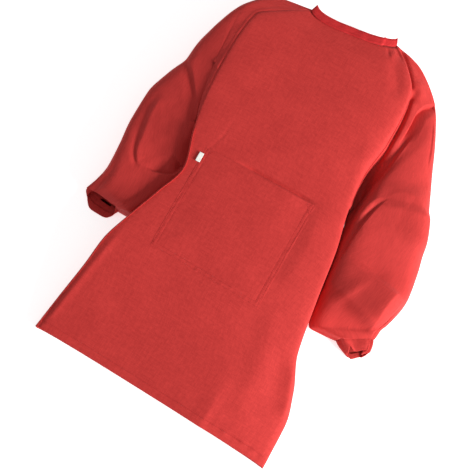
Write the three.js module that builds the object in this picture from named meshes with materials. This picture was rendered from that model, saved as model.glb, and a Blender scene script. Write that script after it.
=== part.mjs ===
// A child's painting smock with long raglan sleeves, lying on its back with the front up.
// Millimetres. +Z is up, +Y runs from the hem to the neck, and +X is the wearer's left.
// Every cloth piece is a thin closed wall around an open hollow: body, sleeves, cuffs and pocket.

import * as THREE from "three";

// Driving dimensions
const CLOTH = 1.5; // thickness of a cloth wall
const SEAM = 0.5; // clear gap between two pieces that are sewn together
const SIDE_SEAM = 1.3; // the same down the body's sides, where the wall's rim leans
const RAGLAN_SEAM = 0.9; // the same round the armholes
const NECK_SEAM = 0.8; // the same round the neck
const BAND_WIDTH = 11; // neck band, from the neck seam to its free edge
const BAND_THICK = 2.4; // the band is cloth folded over twice
const BACK_OVERLAP = 36; // width over which the two back panels lie on each other
const OVERLAP_RAMP = 14; // length over which the upper back panel climbs onto the lower one
const CLOSURE = { width: 24, length: 40, thick: 1.2, fromNeck: 9 }; // closing tab between the back panels
const SIDE_TUCK = 20; // how far the back panel's side turns in before it lies on the floor
const POCKET_GAP = 1.0; // clear gap between the pocket's sewn edges and the front
const POCKET_GAPE = 7; // how far the pocket's mouth stands off the front
const LABEL = { width: 6, length: 13, thick: 1.2, gap: 0.7 }; // woven tag in the pocket's side seam
const PLEATS = 8; // gathers round each wrist

// How square the body's cross-section is: 1 is an ellipse, and less is squarer.
const SQUARE = { left: 0.5, right: 0.68, rise: 0.62, neckBack: 0.8 };
// The same for a sleeve: across, over the top, and underneath where it lies on the floor.
const SLEEVE_SQUARE = { across: 0.72, top: 0.8, under: 0.42 };

// Facets
const FACETS = { across: 22, skirt: 14, raglan: 14, sleeveLength: 21, pocket: 10, band: 44, cuff: 4 };

// The body from hem to neck, one row for each level. left and right are the side seams in plan, and
// above the underarm the raglan seams. dip is how far the level's line sags towards the hem, edge the
// seam's height, crown the height of the front's middle, and wrap the share of the side that the back
// panel climbs (none along the raglan seams).
const BODY = [
  { at: "hem", leftX: -172, leftY: -213, rightX: 163, rightY: -236, dip: -3, edge: 5, crown: 11, wrap: 1 },
  { at: "knee", leftX: -162, leftY: -166, rightX: 164, rightY: -182, dip: 0, edge: 12, crown: 25, wrap: 1 },
  { at: "thigh", leftX: -152, leftY: -118, rightX: 155, rightY: -140, dip: 0, edge: 18, crown: 37, wrap: 1 },
  { at: "hip", leftX: -146, leftY: -80, rightX: 138, rightY: -95, dip: 0, edge: 23, crown: 45, wrap: 1 },
  { at: "pocket", leftX: -132, leftY: -41, rightX: 132, rightY: -52, dip: 0, edge: 27, crown: 50, wrap: 1 },
  { at: "waist", leftX: -114, leftY: 5, rightX: 126, rightY: -15, dip: 0, edge: 30, crown: 53, wrap: 1 },
  { at: "ribs", leftX: -100, leftY: 47, rightX: 120, rightY: 36, dip: 0, edge: 33, crown: 55, wrap: 1 },
  { at: "underarm", leftX: -113, leftY: 98, rightX: 110, rightY: 100, dip: 0, edge: 35, crown: 56, wrap: 1 },
  { at: "chest", leftX: -120, leftY: 140, rightX: 109, rightY: 150, dip: 0, edge: 38, crown: 56, wrap: 0 },
  { at: "bust", leftX: -125, leftY: 195, rightX: 116, rightY: 205, dip: 0, edge: 40, crown: 55, wrap: 0 },
  { at: "shoulder", leftX: -126, leftY: 240, rightX: 117, rightY: 245, dip: 0, edge: 40, crown: 52, wrap: 0 },
  { at: "corner", leftX: -122, leftY: 287, rightX: 113, rightY: 284, dip: 0, edge: 39, crown: 48, wrap: 0 },
  { at: "collar", leftX: -91, leftY: 314, rightX: 92, rightY: 318, dip: 6, edge: 38, crown: 44, wrap: 0 },
  { at: "neck", leftX: -58, leftY: 335, rightX: 66, rightY: 343, dip: 12, edge: 36, crown: 40, wrap: 0 },
];
const DIP_AT = 0.74; // where along a level's line its dip is deepest, from left to right
const UNDERARM = BODY.findIndex((row) => row.at === "underarm");
const NECK = BODY.length - 1;

// Sleeves from the raglan seam to the wrist, one row for each section. inner runs down the underarm
// side and outer down the shoulder and elbow side. height is the top of the section, seam the share
// in which it follows the raglan seam, and gather the depth of the wrist's pleats.
const LEFT_SLEEVE = [
  { innerX: 110.5, innerY: 100, outerX: 66.5, outerY: 343, height: 40, seam: 1, gather: 0 },
  { innerX: 113, innerY: 101, outerX: 101, outerY: 331, height: 44, seam: 0.75, gather: 0 },
  { innerX: 114.5, innerY: 100, outerX: 139, outerY: 295, height: 48, seam: 0.3, gather: 0 },
  { innerX: 115.5, innerY: 98, outerX: 168, outerY: 249, height: 50, seam: 0.1, gather: 0 },
  { innerX: 115.5, innerY: 94, outerX: 187, outerY: 198, height: 50, seam: 0, gather: 0 },
  { innerX: 116, innerY: 86, outerX: 203, outerY: 152, height: 50, seam: 0, gather: 0 },
  { innerX: 117.5, innerY: 66, outerX: 217, outerY: 108, height: 50, seam: 0, gather: 0 },
  { innerX: 122.3, innerY: 34, outerX: 226, outerY: 66, height: 50, seam: 0, gather: 0 },
  { innerX: 126.8, innerY: 0, outerX: 230, outerY: 28, height: 48, seam: 0, gather: 0 },
  { innerX: 132.3, innerY: -36, outerX: 225, outerY: -6, height: 44, seam: 0, gather: 0.02 },
  { innerX: 140, innerY: -54, outerX: 216, outerY: -24, height: 36, seam: 0, gather: 0.06 },
  { innerX: 172, innerY: -53, outerX: 211, outerY: -33, height: 25, seam: 0, gather: 0.13 },
];
const RIGHT_SLEEVE = [
  { innerX: -113.5, innerY: 98, outerX: -58.5, outerY: 335, height: 40, seam: 1, gather: 0 },
  { innerX: -116, innerY: 100, outerX: -99, outerY: 333, height: 43, seam: 0.75, gather: 0 },
  { innerX: -118, innerY: 99, outerX: -136, outerY: 304, height: 46, seam: 0.3, gather: 0 },
  { innerX: -119, innerY: 96, outerX: -158, outerY: 255, height: 48, seam: 0.1, gather: 0 },
  { innerX: -118.5, innerY: 91, outerX: -172, outerY: 202, height: 48, seam: 0, gather: 0 },
  { innerX: -113.5, innerY: 83, outerX: -184, outerY: 160, height: 48, seam: 0, gather: 0 },
  { innerX: -107.5, innerY: 68, outerX: -196, outerY: 124, height: 47, seam: 0, gather: 0 },
  { innerX: -102.5, innerY: 44, outerX: -198, outerY: 84, height: 45, seam: 0, gather: 0 },
  { innerX: -115, innerY: 8, outerX: -194, outerY: 44, height: 42, seam: 0, gather: 0 },
  { innerX: -125.5, innerY: -18, outerX: -193, outerY: 12, height: 38, seam: 0, gather: 0.02 },
  { innerX: -137, innerY: -33, outerX: -196, outerY: -9, height: 32, seam: 0, gather: 0.06 },
  { innerX: -157, innerY: -31, outerX: -201, outerY: -24, height: 26, seam: 0, gather: 0.13 },
];
// Cuffs, from the sleeve's gathered end to the open mouth, in the same columns.
const LEFT_CUFF = [
  { innerX: 172.6, innerY: -54, outerX: 211.6, outerY: -34, height: 25, seam: 0, gather: 0.13 },
  { innerX: 180, innerY: -59, outerX: 212, outerY: -43, height: 22, seam: 0, gather: 0.16 },
  { innerX: 189, innerY: -66, outerX: 213, outerY: -55, height: 20, seam: 0, gather: 0.2 },
];
const RIGHT_CUFF = [
  { innerX: -156.9, innerY: -32, outerX: -201.1, outerY: -25, height: 26, seam: 0, gather: 0.13 },
  { innerX: -157, innerY: -38, outerX: -201, outerY: -33, height: 24, seam: 0, gather: 0.11 },
  { innerX: -159, innerY: -47, outerX: -197, outerY: -45, height: 22, seam: 0, gather: 0.1 },
];

// Main folds: a soft ridge (rise above 0) or valley (below 0) along a bent line in plan.
const FRONT_FOLDS = [
  { fromX: 98, fromY: 200, viaX: 94, viaY: 160, toX: 106, toY: 100, rise: 3, width: 9 },
  { fromX: 90, fromY: 66, viaX: 112, viaY: 0, toX: 88, toY: -60, rise: 3, width: 10 },
  { fromX: 90, fromY: -84, viaX: 98, viaY: -150, toX: 126, toY: -212, rise: 3.5, width: 15 },
  { fromX: 117, fromY: -84, viaX: 140, viaY: -140, toX: 132, toY: -186, rise: -4, width: 12 },
  { fromX: 136, fromY: -108, viaX: 156, viaY: -146, toX: 154, toY: -184, rise: 4, width: 8 },
  { fromX: 72, fromY: -226, viaX: 77, viaY: -180, toX: 73, toY: -126, rise: 2.5, width: 12 },
  { fromX: -130, fromY: -60, viaX: -144, viaY: -122, toX: -161, toY: -196, rise: 3, width: 8 },
];
const LEFT_FOLDS = [
  { fromX: 150, fromY: 292, viaX: 132, viaY: 262, toX: 121, toY: 200, rise: 5, width: 9 },
  { fromX: 160, fromY: 262, viaX: 142, viaY: 232, toX: 128, toY: 170, rise: -8, width: 12 },
  { fromX: 222, fromY: 96, viaX: 196, viaY: 128, toX: 132, toY: 56, rise: 6, width: 12 },
  { fromX: 206, fromY: 140, viaX: 180, viaY: 150, toX: 130, toY: 96, rise: -7, width: 14 },
  { fromX: 229, fromY: 30, viaX: 196, viaY: 30, toX: 160, toY: 12, rise: -4, width: 12 },
];
const RIGHT_FOLDS = [
  { fromX: -172, fromY: 196, viaX: -150, viaY: 172, toX: -124, toY: 126, rise: -9, width: 11 },
  { fromX: -178, fromY: 100, viaX: -178, viaY: 70, toX: -160, toY: 44, rise: -8, width: 11 },
  { fromX: -126, fromY: 76, viaX: -134, viaY: 48, toX: -156, toY: 34, rise: -9, width: 12 },
  { fromX: -188, fromY: 118, viaX: -160, viaY: 128, toX: -142, toY: 84, rise: 4, width: 11 },
];

// The pocket's four corners in plan: one row for each edge, from its left to its right end.
const POCKET = {
  top: { leftX: -86, leftY: 84, rightX: 73.5, rightY: 78 },
  bottom: { leftX: -88, leftY: -62, rightX: 69, rightY: -73 },
};

// Smooth curve through one column of a table, with no overshoot. Its parameter is the row number.
function column(rows, name) {
  const value = rows.map((row) => row[name]);
  const step = value.slice(1).map((v, i) => v - value[i]);
  const slope = value.map((_, i) => {
    if (i === 0) return step[0];
    if (i === step.length) return step[i - 1];
    const product = step[i - 1] * step[i];
    return product <= 0 ? 0 : (2 * product) / (step[i - 1] + step[i]);
  });
  return (t) => {
    const i = Math.min(Math.max(Math.floor(t), 0), step.length - 1);
    const f = t - i;
    const start = value[i] + f * f * (3 - 2 * f) * step[i];
    return start + f * (1 - f) * ((1 - f) * slope[i] - f * slope[i + 1]);
  };
}

// A table as one function: the row number gives an object with every column at that place.
function table(rows) {
  const names = Object.keys(rows[0]).filter((name) => typeof rows[0][name] === "number");
  const curves = names.map((name) => column(rows, name));
  return (t) => Object.fromEntries(names.map((name, k) => [name, curves[k](t)]));
}

const mix = THREE.MathUtils.lerp;
const smooth = THREE.MathUtils.smoothstep;
const signedPower = (value, power) => Math.sign(value) * Math.abs(value) ** power;
const bodyAt = table(BODY);

// A closed wall behind a grid of points: grid[i][j] is its outer skin and the wall lies thick behind
// it. closed joins the last column to the first, as round a tube.
function wall(grid, thick, closed = false) {
  const rows = grid.length;
  const columns = grid[0].length;
  const wrapped = (j) => (closed ? (j + columns) % columns : Math.min(Math.max(j, 0), columns - 1));
  const clamped = (i) => Math.min(Math.max(i, 0), rows - 1);
  const inner = grid.map((row, i) =>
    row.map((point, j) => {
      const along = grid[clamped(i + 1)][j].clone().sub(grid[clamped(i - 1)][j]);
      const across = row[wrapped(j + 1)].clone().sub(row[wrapped(j - 1)]);
      return point.clone().addScaledVector(across.cross(along).normalize(), -thick);
    }),
  );
  const positions = [...grid.flat(), ...inner.flat()].flatMap((p) => p.toArray());
  const outerIndex = (i, j) => i * columns + wrapped(j);
  const innerIndex = (i, j) => rows * columns + outerIndex(i, j);
  const faces = [];
  const quad = (a, b, c, d) => faces.push(a, b, c, a, c, d);
  const lastColumn = closed ? columns : columns - 1;
  for (let i = 0; i < rows - 1; i++) {
    for (let j = 0; j < lastColumn; j++) {
      quad(outerIndex(i, j), outerIndex(i, j + 1), outerIndex(i + 1, j + 1), outerIndex(i + 1, j));
      quad(innerIndex(i, j), innerIndex(i + 1, j), innerIndex(i + 1, j + 1), innerIndex(i, j + 1));
    }
    if (!closed) {
      const end = columns - 1;
      quad(outerIndex(i, 0), outerIndex(i + 1, 0), innerIndex(i + 1, 0), innerIndex(i, 0));
      quad(outerIndex(i, end), innerIndex(i, end), innerIndex(i + 1, end), outerIndex(i + 1, end));
    }
  }
  for (let j = 0; j < lastColumn; j++) {
    const top = rows - 1;
    quad(outerIndex(0, j), innerIndex(0, j), innerIndex(0, j + 1), outerIndex(0, j + 1));
    quad(outerIndex(top, j), outerIndex(top, j + 1), innerIndex(top, j + 1), innerIndex(top, j));
  }
  const geometry = new THREE.BufferGeometry();
  geometry.setAttribute("position", new THREE.Float32BufferAttribute(positions, 3));
  geometry.setIndex(faces);
  geometry.computeVertexNormals();
  return geometry;
}

// Points of a surface at every pair of two lists of parameters.
const gridOf = (alongs, acrosses, point) => alongs.map((t) => acrosses.map((a) => point(t, a)));
const steps = (from, to, count) => Array.from({ length: count + 1 }, (_, k) => mix(from, to, k / count));

// Place in plan on the line of a body row, at a share of the way from its left to its right end.
function acrossRow(row, share) {
  const slant = share < DIP_AT ? share / DIP_AT : (1 - share) / (1 - DIP_AT);
  const sag = row.dip * Math.sin((Math.PI / 2) * THREE.MathUtils.clamp(slant, 0, 1));
  return new THREE.Vector2(mix(row.leftX, row.rightX, share), mix(row.leftY, row.rightY, share) - sag);
}

// Height of a soft fold over a point of the plan: a bell across the bent line of each row.
function foldRise(folds, x, y) {
  const point = new THREE.Vector2(x, y);
  return folds.reduce((sum, fold) => {
    const line = new THREE.QuadraticBezierCurve(
      new THREE.Vector2(fold.fromX, fold.fromY),
      new THREE.Vector2(fold.viaX, fold.viaY),
      new THREE.Vector2(fold.toX, fold.toY),
    );
    const near = Math.min(...line.getPoints(12).map((p) => p.distanceTo(point)));
    return sum + fold.rise * Math.exp(-((near / fold.width) ** 2));
  }, 0);
}

// Front panel: its outer skin at row t. angle goes from 0 at the left seam, over the top, to pi at the
// right seam.
function frontPoint(t, angle) {
  const row = bodyAt(t);
  const across = -Math.cos(angle);
  const share = 0.5 + 0.5 * signedPower(across, across < 0 ? SQUARE.left : SQUARE.right);
  const rise = Math.max(0, Math.sin(angle)) ** SQUARE.rise;
  const place = acrossRow(row, share);
  const fold = rise * foldRise(FRONT_FOLDS, place.x, place.y);
  return new THREE.Vector3(place.x, place.y, mix(row.edge, row.crown, rise) + fold);
}

// Height of the front panel's skin over a point of the plan.
function frontHeight(x, y) {
  const shareAt = (row) => (x - row.leftX) / (row.rightX - row.leftX);
  let low = 0;
  let high = NECK;
  for (let k = 0; k < 40; k++) {
    const middle = (low + high) / 2;
    const row = bodyAt(middle);
    if (acrossRow(row, shareAt(row)).y < y) low = middle;
    else high = middle;
  }
  const offset = THREE.MathUtils.clamp(2 * shareAt(bodyAt(low)) - 1, -1, 1);
  const across = signedPower(offset, 1 / (offset < 0 ? SQUARE.left : SQUARE.right));
  return frontPoint(low, Math.acos(-across)).z;
}

// Levels of the front's facets: evenly up the skirt, then evenly up the raglan seams.
const RAGLAN_LEVELS = steps(UNDERARM, NECK, FACETS.raglan);
const BODY_LEVELS = [...steps(0, UNDERARM, FACETS.skirt).slice(0, -1), ...RAGLAN_LEVELS];

function frontPanel() {
  const angles = steps(0, Math.PI, FACETS.across);
  return wall(gridOf(BODY_LEVELS, angles, frontPoint), CLOTH);
}

// Height that the upper back panel gains where it lies on the lower one, with the closing tab between.
const OVERLAP_RISE = CLOTH + CLOSURE.thick + 2 * SEAM;

// Back panel: its outer skin from the side seam, down and under, then flat on the floor to the centre.
// side is 1 for the wearer's left, which lies over the other panel, and -1 for the right.
function backPanel(side) {
  const turns = steps(0, Math.PI / 2, 5);
  const climb = side > 0 ? OVERLAP_RISE : 0;
  const flats = [
    { short: BACK_OVERLAP / 2 + OVERLAP_RAMP, height: 0 },
    { short: BACK_OVERLAP / 2 + 1, height: climb },
    { short: -BACK_OVERLAP / 2, height: climb },
  ];
  const grid = BODY_LEVELS.map((t) => {
    const row = bodyAt(t);
    const width = Math.hypot(row.rightX - row.leftX, row.rightY - row.leftY);
    const pointAt = (inset, height) => {
      const place = acrossRow(row, side > 0 ? 1 - inset / width : inset / width);
      return new THREE.Vector3(place.x, place.y, height);
    };
    const rise = Math.max(0, (row.edge - SIDE_SEAM) * row.wrap);
    const tuck = SIDE_TUCK * Math.min(1, row.edge / SIDE_TUCK);
    const margin = (1 - row.wrap) * 3 * SEAM;
    const points = [
      ...turns.map((turn) => pointAt(margin + tuck * (1 - Math.cos(turn)), rise * (1 - Math.sin(turn)))),
      ...flats.map(({ short, height }) => pointAt(width / 2 - short, height)),
    ];
    // The outer skin faces down on both sides.
    return side > 0 ? points : points.reverse();
  });
  return wall(grid, CLOTH);
}

// Closing tab: one plain strip between the overlapped back panels, just below the neck.
function backClosure() {
  const neck = bodyAt(NECK);
  const { width, length, thick, fromNeck } = CLOSURE;
  const tab = new THREE.BoxGeometry(width, length, thick);
  const centreX = (neck.leftX + neck.rightX) / 2;
  const topY = acrossRow(neck, 0.5).y - fromNeck;
  return tab.translate(centreX, topY - length / 2, CLOTH + SEAM + thick / 2);
}

// Where the sleeve's first section lies: along the raglan seam over the top, down the shoulder at the
// neck, and back to the underarm along the floor. turn goes from 0 at the underarm, round to 2 pi.
const SHOULDER_TURN = 0.2; // share of the lower half that goes down the shoulder at the neck
function seamSection(side, turn) {
  const upper = turn <= Math.PI;
  const under = Math.max(0, turn / Math.PI - 1);
  const share = upper ? turn / Math.PI : 1 - Math.max(0, under - SHOULDER_TURN) / (1 - SHOULDER_TURN);
  const row = bodyAt(mix(UNDERARM, NECK, share));
  const drop = upper ? 1 : 1 - smooth(under, 0, SHOULDER_TURN) + 1 - smooth(share, 0, 0.15);
  const z = row.edge * drop - SEAM;
  return side > 0 ? { x: row.rightX, y: row.rightY, z, share } : { x: row.leftX, y: row.leftY, z, share };
}

// A sleeve's or cuff's outer skin. turn goes from 0 on the inner side, over the top, to pi on the outer
// side and on underneath.
function tubePoint(rowAt, side, folds, t, turn) {
  const row = rowAt(t);
  const seam = seamSection(side, turn);
  const pleat = 1 + row.gather * Math.cos(PLEATS * turn);
  const across = -signedPower(Math.cos(turn), SLEEVE_SQUARE.across) * pleat;
  const share = mix(0.5 + 0.5 * across, seam.share, row.seam);
  const first = rowAt(0);
  const straightX = mix(first.innerX, first.outerX, seam.share);
  const straightY = mix(first.innerY, first.outerY, seam.share);
  const x = mix(row.innerX, row.outerX, share) + row.seam * (seam.x + side * RAGLAN_SEAM - straightX);
  const y = mix(row.innerY, row.outerY, share) + row.seam * (seam.y - straightY);
  const up = Math.sin(turn);
  const swell = signedPower(up, up > 0 ? SLEEVE_SQUARE.top : SLEEVE_SQUARE.under) * (up > 0 ? pleat : 1);
  const round = (row.height / 2) * (1 + swell);
  const folded = round + Math.max(0, swell) * (1 - row.seam) * foldRise(folds, x, y);
  return new THREE.Vector3(x, y, Math.max(0, mix(folded, seam.z, row.seam)));
}

function tube(rows, side, folds, lengthFacets) {
  const rowAt = table(rows);
  const turns = steps(0, 2 * Math.PI, 2 * FACETS.raglan).slice(0, -1);
  const alongs = steps(0, rows.length - 1, lengthFacets);
  const grid = gridOf(alongs, turns, (t, turn) => tubePoint(rowAt, side, folds, t, turn));
  // The outer skin faces out on both sides.
  return wall(side > 0 ? grid.map((ring) => ring.slice().reverse()) : grid, CLOTH, true);
}

// Pocket: a patch over the front, sewn along three edges and standing open along its mouth.
function pocketPoint(up, across) {
  const { top, bottom } = POCKET;
  const x = mix(mix(bottom.leftX, bottom.rightX, across), mix(top.leftX, top.rightX, across), up);
  const y = mix(mix(bottom.leftY, bottom.rightY, across), mix(top.leftY, top.rightY, across), up);
  const gape = POCKET_GAPE * Math.sin(Math.PI * across) ** 0.7 * Math.min(1, 1.6 * up) ** 1.5;
  return new THREE.Vector3(x, y, frontHeight(x, y) + POCKET_GAP + gape + CLOTH);
}

function pocket() {
  const shares = steps(0, 1, FACETS.pocket);
  return wall(gridOf(shares, shares, pocketPoint), CLOTH);
}

// Woven tag: a short folded tape that sticks out of the pocket's left side seam near its top.
function labelTag() {
  const edge = POCKET.top.leftX - SEAM;
  const topY = POCKET.top.leftY - 9;
  const point = (up, across) => {
    const x = edge - LABEL.width * (1 - across);
    const y = topY - LABEL.length * (1 - up);
    return new THREE.Vector3(x, y, frontHeight(x, y) + LABEL.gap + LABEL.thick);
  };
  return wall(gridOf(steps(0, 1, 3), steps(0, 1, 2), point), LABEL.thick);
}

// Neck band: a folded strip round the neck. turn goes from the centre back, up the right side of the
// neck, over the front and down, and ends on top of where it began.
const BAND_LAP = 0.3; // angle by which each end passes the centre back
function bandPoint(turn, across) {
  const neck = bodyAt(NECK);
  const side = -Math.cos(turn);
  const up = Math.sin(turn);
  const square = up < 0 ? SQUARE.neckBack : side < 0 ? SQUARE.left : SQUARE.right;
  const share = 0.5 + 0.5 * signedPower(side, square);
  const over = mix(neck.edge, neck.crown, Math.max(0, up) ** SQUARE.rise);
  const rise = up < 0 ? neck.edge * (1 - Math.abs(up) ** 0.4) : over;
  const lap = smooth(turn, 1.5 * Math.PI - 3 * BAND_LAP, 1.5 * Math.PI - BAND_LAP);
  const place = acrossRow(neck, share);
  const y = place.y + NECK_SEAM + across * BAND_WIDTH;
  return new THREE.Vector3(place.x, y, rise + lap * (BAND_THICK + SEAM));
}

function neckBand() {
  const turns = steps(-0.5 * Math.PI - BAND_LAP, 1.5 * Math.PI + BAND_LAP, FACETS.band);
  const grid = gridOf([0, 1], turns, (across, turn) => bandPoint(turn, across));
  return wall(grid, BAND_THICK);
}

// Finishes
const CLOTH_RED = new THREE.MeshStandardMaterial({ color: 0xc23a38, roughness: 0.72, metalness: 0 });
const BAND_RED = new THREE.MeshStandardMaterial({ color: 0xbb3432, roughness: 0.72, metalness: 0 });
const TAG_WHITE = new THREE.MeshStandardMaterial({ color: 0xf4efe4, roughness: 0.8, metalness: 0 });
const TAPE_RED = new THREE.MeshStandardMaterial({ color: 0xa82c2b, roughness: 0.9, metalness: 0 });

// The smock, piece by piece
const PIECES = [
  ["front_panel", frontPanel(), CLOTH_RED],
  ["back_panel_left", backPanel(1), CLOTH_RED],
  ["back_panel_right", backPanel(-1), CLOTH_RED],
  ["sleeve_left", tube(LEFT_SLEEVE, 1, LEFT_FOLDS, FACETS.sleeveLength), CLOTH_RED],
  ["sleeve_right", tube(RIGHT_SLEEVE, -1, RIGHT_FOLDS, FACETS.sleeveLength), CLOTH_RED],
  ["cuff_left", tube(LEFT_CUFF, 1, [], FACETS.cuff), CLOTH_RED],
  ["cuff_right", tube(RIGHT_CUFF, -1, [], FACETS.cuff), CLOTH_RED],
  ["neck_band", neckBand(), BAND_RED],
  ["pocket", pocket(), CLOTH_RED],
  ["label_tag", labelTag(), TAG_WHITE],
  ["back_closure", backClosure(), TAPE_RED],
];

const smock = new THREE.Group();
for (const [name, geometry, material] of PIECES) {
  const mesh = new THREE.Mesh(geometry, material);
  mesh.name = name;
  smock.add(mesh);
}

// The origin is on the floor, under the middle of the whole smock.
const extent = new THREE.Box3().setFromObject(smock);
const middle = extent.getCenter(new THREE.Vector3());
smock.position.set(-middle.x, -middle.y, -extent.min.z);

const part = new THREE.Group();
part.add(smock);

export default part;
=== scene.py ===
# %% [markdown]
# # A child's painting smock
# The smock lies on its back with the front up. It is sewn from plain red cloth: a front, two back
# panels, two raglan sleeves with gathered cuffs, a band round the neck, and one patch pocket. The
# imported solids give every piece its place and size. This lesson makes the cloth that is seen over
# them, one sewn piece at a time.

# %% Load the frame
import math
from types import SimpleNamespace

import bpy
import numpy as np
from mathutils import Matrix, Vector


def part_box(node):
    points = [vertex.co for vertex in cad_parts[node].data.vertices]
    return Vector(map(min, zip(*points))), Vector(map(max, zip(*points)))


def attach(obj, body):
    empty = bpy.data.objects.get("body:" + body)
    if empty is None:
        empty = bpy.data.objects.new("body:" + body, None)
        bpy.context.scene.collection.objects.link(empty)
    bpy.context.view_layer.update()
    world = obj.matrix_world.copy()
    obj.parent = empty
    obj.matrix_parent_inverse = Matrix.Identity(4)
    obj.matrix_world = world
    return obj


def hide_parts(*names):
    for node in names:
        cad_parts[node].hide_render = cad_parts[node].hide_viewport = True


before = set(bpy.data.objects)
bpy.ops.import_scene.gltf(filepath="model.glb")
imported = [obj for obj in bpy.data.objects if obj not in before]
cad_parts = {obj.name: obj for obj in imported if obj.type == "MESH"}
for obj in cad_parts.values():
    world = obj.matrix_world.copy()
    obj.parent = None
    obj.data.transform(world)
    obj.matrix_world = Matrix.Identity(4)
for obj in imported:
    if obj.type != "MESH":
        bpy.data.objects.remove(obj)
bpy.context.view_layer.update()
print("solids to dress:", ", ".join(sorted(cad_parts)))

# %% [markdown]
# ## A pattern in tables
# A dressmaker keeps a garment as a few measured lines. Here each line is one row of a short table,
# in millimetres, and a smooth curve through every column fills in the cloth between the rows. A
# spline object could do the same, but plain arrays let us bend thousands of points at once. On the
# body and the pocket, left and right are as seen from above. The pieces are named as worn, so the
# left sleeve is on the right.

# %% Smooth curves through a table
MM = 0.001


def column_curve(values):
    """Smooth curve through one column, with no overshoot. Its parameter is the row number."""
    values = np.array(values, float)
    step = np.diff(values)
    product = step[:-1] * step[1:]
    even_slope = 2 * product / np.where(product > 0, step[:-1] + step[1:], 1)
    slope = np.concatenate([step[:1], np.where(product > 0, even_slope, 0), step[-1:]])

    def curve(t):
        i = np.clip(np.floor(t).astype(int), 0, len(step) - 1)
        f = t - i
        straight = values[i] + f * f * (3 - 2 * f) * step[i]
        return straight + f * (1 - f) * ((1 - f) * slope[i] - f * slope[i + 1])

    return curve


def table(columns, rows):
    """All columns of a table as one function of the row number."""
    curves = {name: column_curve(values) for name, values in zip(columns.split(), zip(*rows))}

    def row_at(t):
        t = np.asarray(t, float)
        return SimpleNamespace(**{name: curve(t) for name, curve in curves.items()})

    row_at.last = len(rows) - 1
    return row_at


def mix(a, b, share):
    return a + (b - a) * share


def smooth(value, low, high):
    share = np.clip((value - low) / (high - low), 0, 1)
    return share * share * (3 - 2 * share)


# %% The body's levels, from hem to neck
body_at = table(
    "left_x left_y right_x right_y dip left_edge right_edge crown wrap",
    [
        (-172, -213, 163, -236, -3, 9, 5, 11, 1),
        (-162, -166, 164, -182, 0, 22, 13.5, 25, 1),
        (-152, -118, 155, -140, 0, 33.5, 21, 37, 1),
        (-146, -80, 138, -95, 0, 41.5, 30, 45, 1),
        (-132, -41, 132, -52, 0, 47, 38, 50, 1),
        (-114, 5, 128, -15, 0, 50.5, 45, 53, 1),
        (-100, 47, 123, 36, 0, 53, 48, 55, 1),
        (-113, 98, 112, 100, 0, 54.5, 47, 56, 1),
        (-120, 140, 109, 150, 0, 55, 41, 56, 0),
        (-125, 195, 116, 205, 0, 53, 39, 55, 0),
        (-126, 240, 117, 245, 0, 50, 39, 52, 0),
        (-122, 287, 113, 284, 0, 46, 39, 48, 0),
        (-91, 314, 92, 318, 8, 42, 37, 44, 0),
        (-58, 335, 66, 343, 14.5, 38, 32, 40, 0),
    ],
)
UNDERARM = 7
NECK = body_at.last
DIP = SimpleNamespace(square=3.2, soft=0.6)


def across_row(row, share):
    """Place in plan on a level's line, at a share of the way from its left to its right end."""
    flat = np.clip(1 - np.abs(2 * share - 1) ** DIP.square, 0, 1) ** DIP.soft
    sag = row.dip * flat
    return mix(row.left_x, row.right_x, share), mix(row.left_y, row.right_y, share) - sag


# %% Place the pattern in the frame
neck_row = body_at(NECK)
neck_x = across_row(neck_row, np.float64(0.5))[0]
front_low, front_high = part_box("front_panel")
SHIFT = np.array(
    [front_low[0] / MM - body_at(0).left_x, front_high[1] / MM - neck_row.right_y, 0.0]
)


def to_frame(points):
    """Pattern millimetres to the frame's metres."""
    return (np.asarray(points, float) + SHIFT) * MM


print("pattern moved by (mm)", SHIFT.round(3))

# %% [markdown]
# ## Camera
# The picture looks down on the smock from the hem's right. The camera comes first, so that every
# piece can be judged in the frame that matters. A long lens keeps the sides nearly parallel.

# %% Camera
CAMERA = SimpleNamespace(
    azimuth=27.8, elevation=72.0, distance=1.4, lens=85.1, sensor=36.0, target_z=45.0
)
TARGET = Vector(to_frame((0, 0, CAMERA.target_z)))


def view_axes(azimuth, elevation):
    """Right, up and back of a camera that looks at the smock from these angles."""
    a = math.radians(azimuth)
    e = math.radians(elevation)
    right = Vector((math.cos(a), math.sin(a), 0))
    back = Vector((math.sin(a) * math.cos(e), -math.cos(a) * math.cos(e), math.sin(e)))
    return right, back.cross(right), back


VIEW_RIGHT, VIEW_UP, VIEW_BACK = view_axes(CAMERA.azimuth, CAMERA.elevation)
camera_data = bpy.data.cameras.new("camera")
camera_data.lens = CAMERA.lens
camera_data.sensor_width = CAMERA.sensor
camera = bpy.data.objects.new("camera", camera_data)
camera.location = TARGET + VIEW_BACK * CAMERA.distance
camera.rotation_euler = VIEW_BACK.to_track_quat("Z", "Y").to_euler()
bpy.context.collection.objects.link(camera)
bpy.context.scene.camera = camera
print("camera at", [round(v, 3) for v in camera.location])

# %% [markdown]
# ## Shader maths as Python
# Cloth colour and weave are sums and products of a few patterns. The node editor can draw them, but
# written as expressions they stay readable. One small class wraps a socket: arithmetic on it adds
# Math nodes, and its `add` method puts in any other node.


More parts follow.
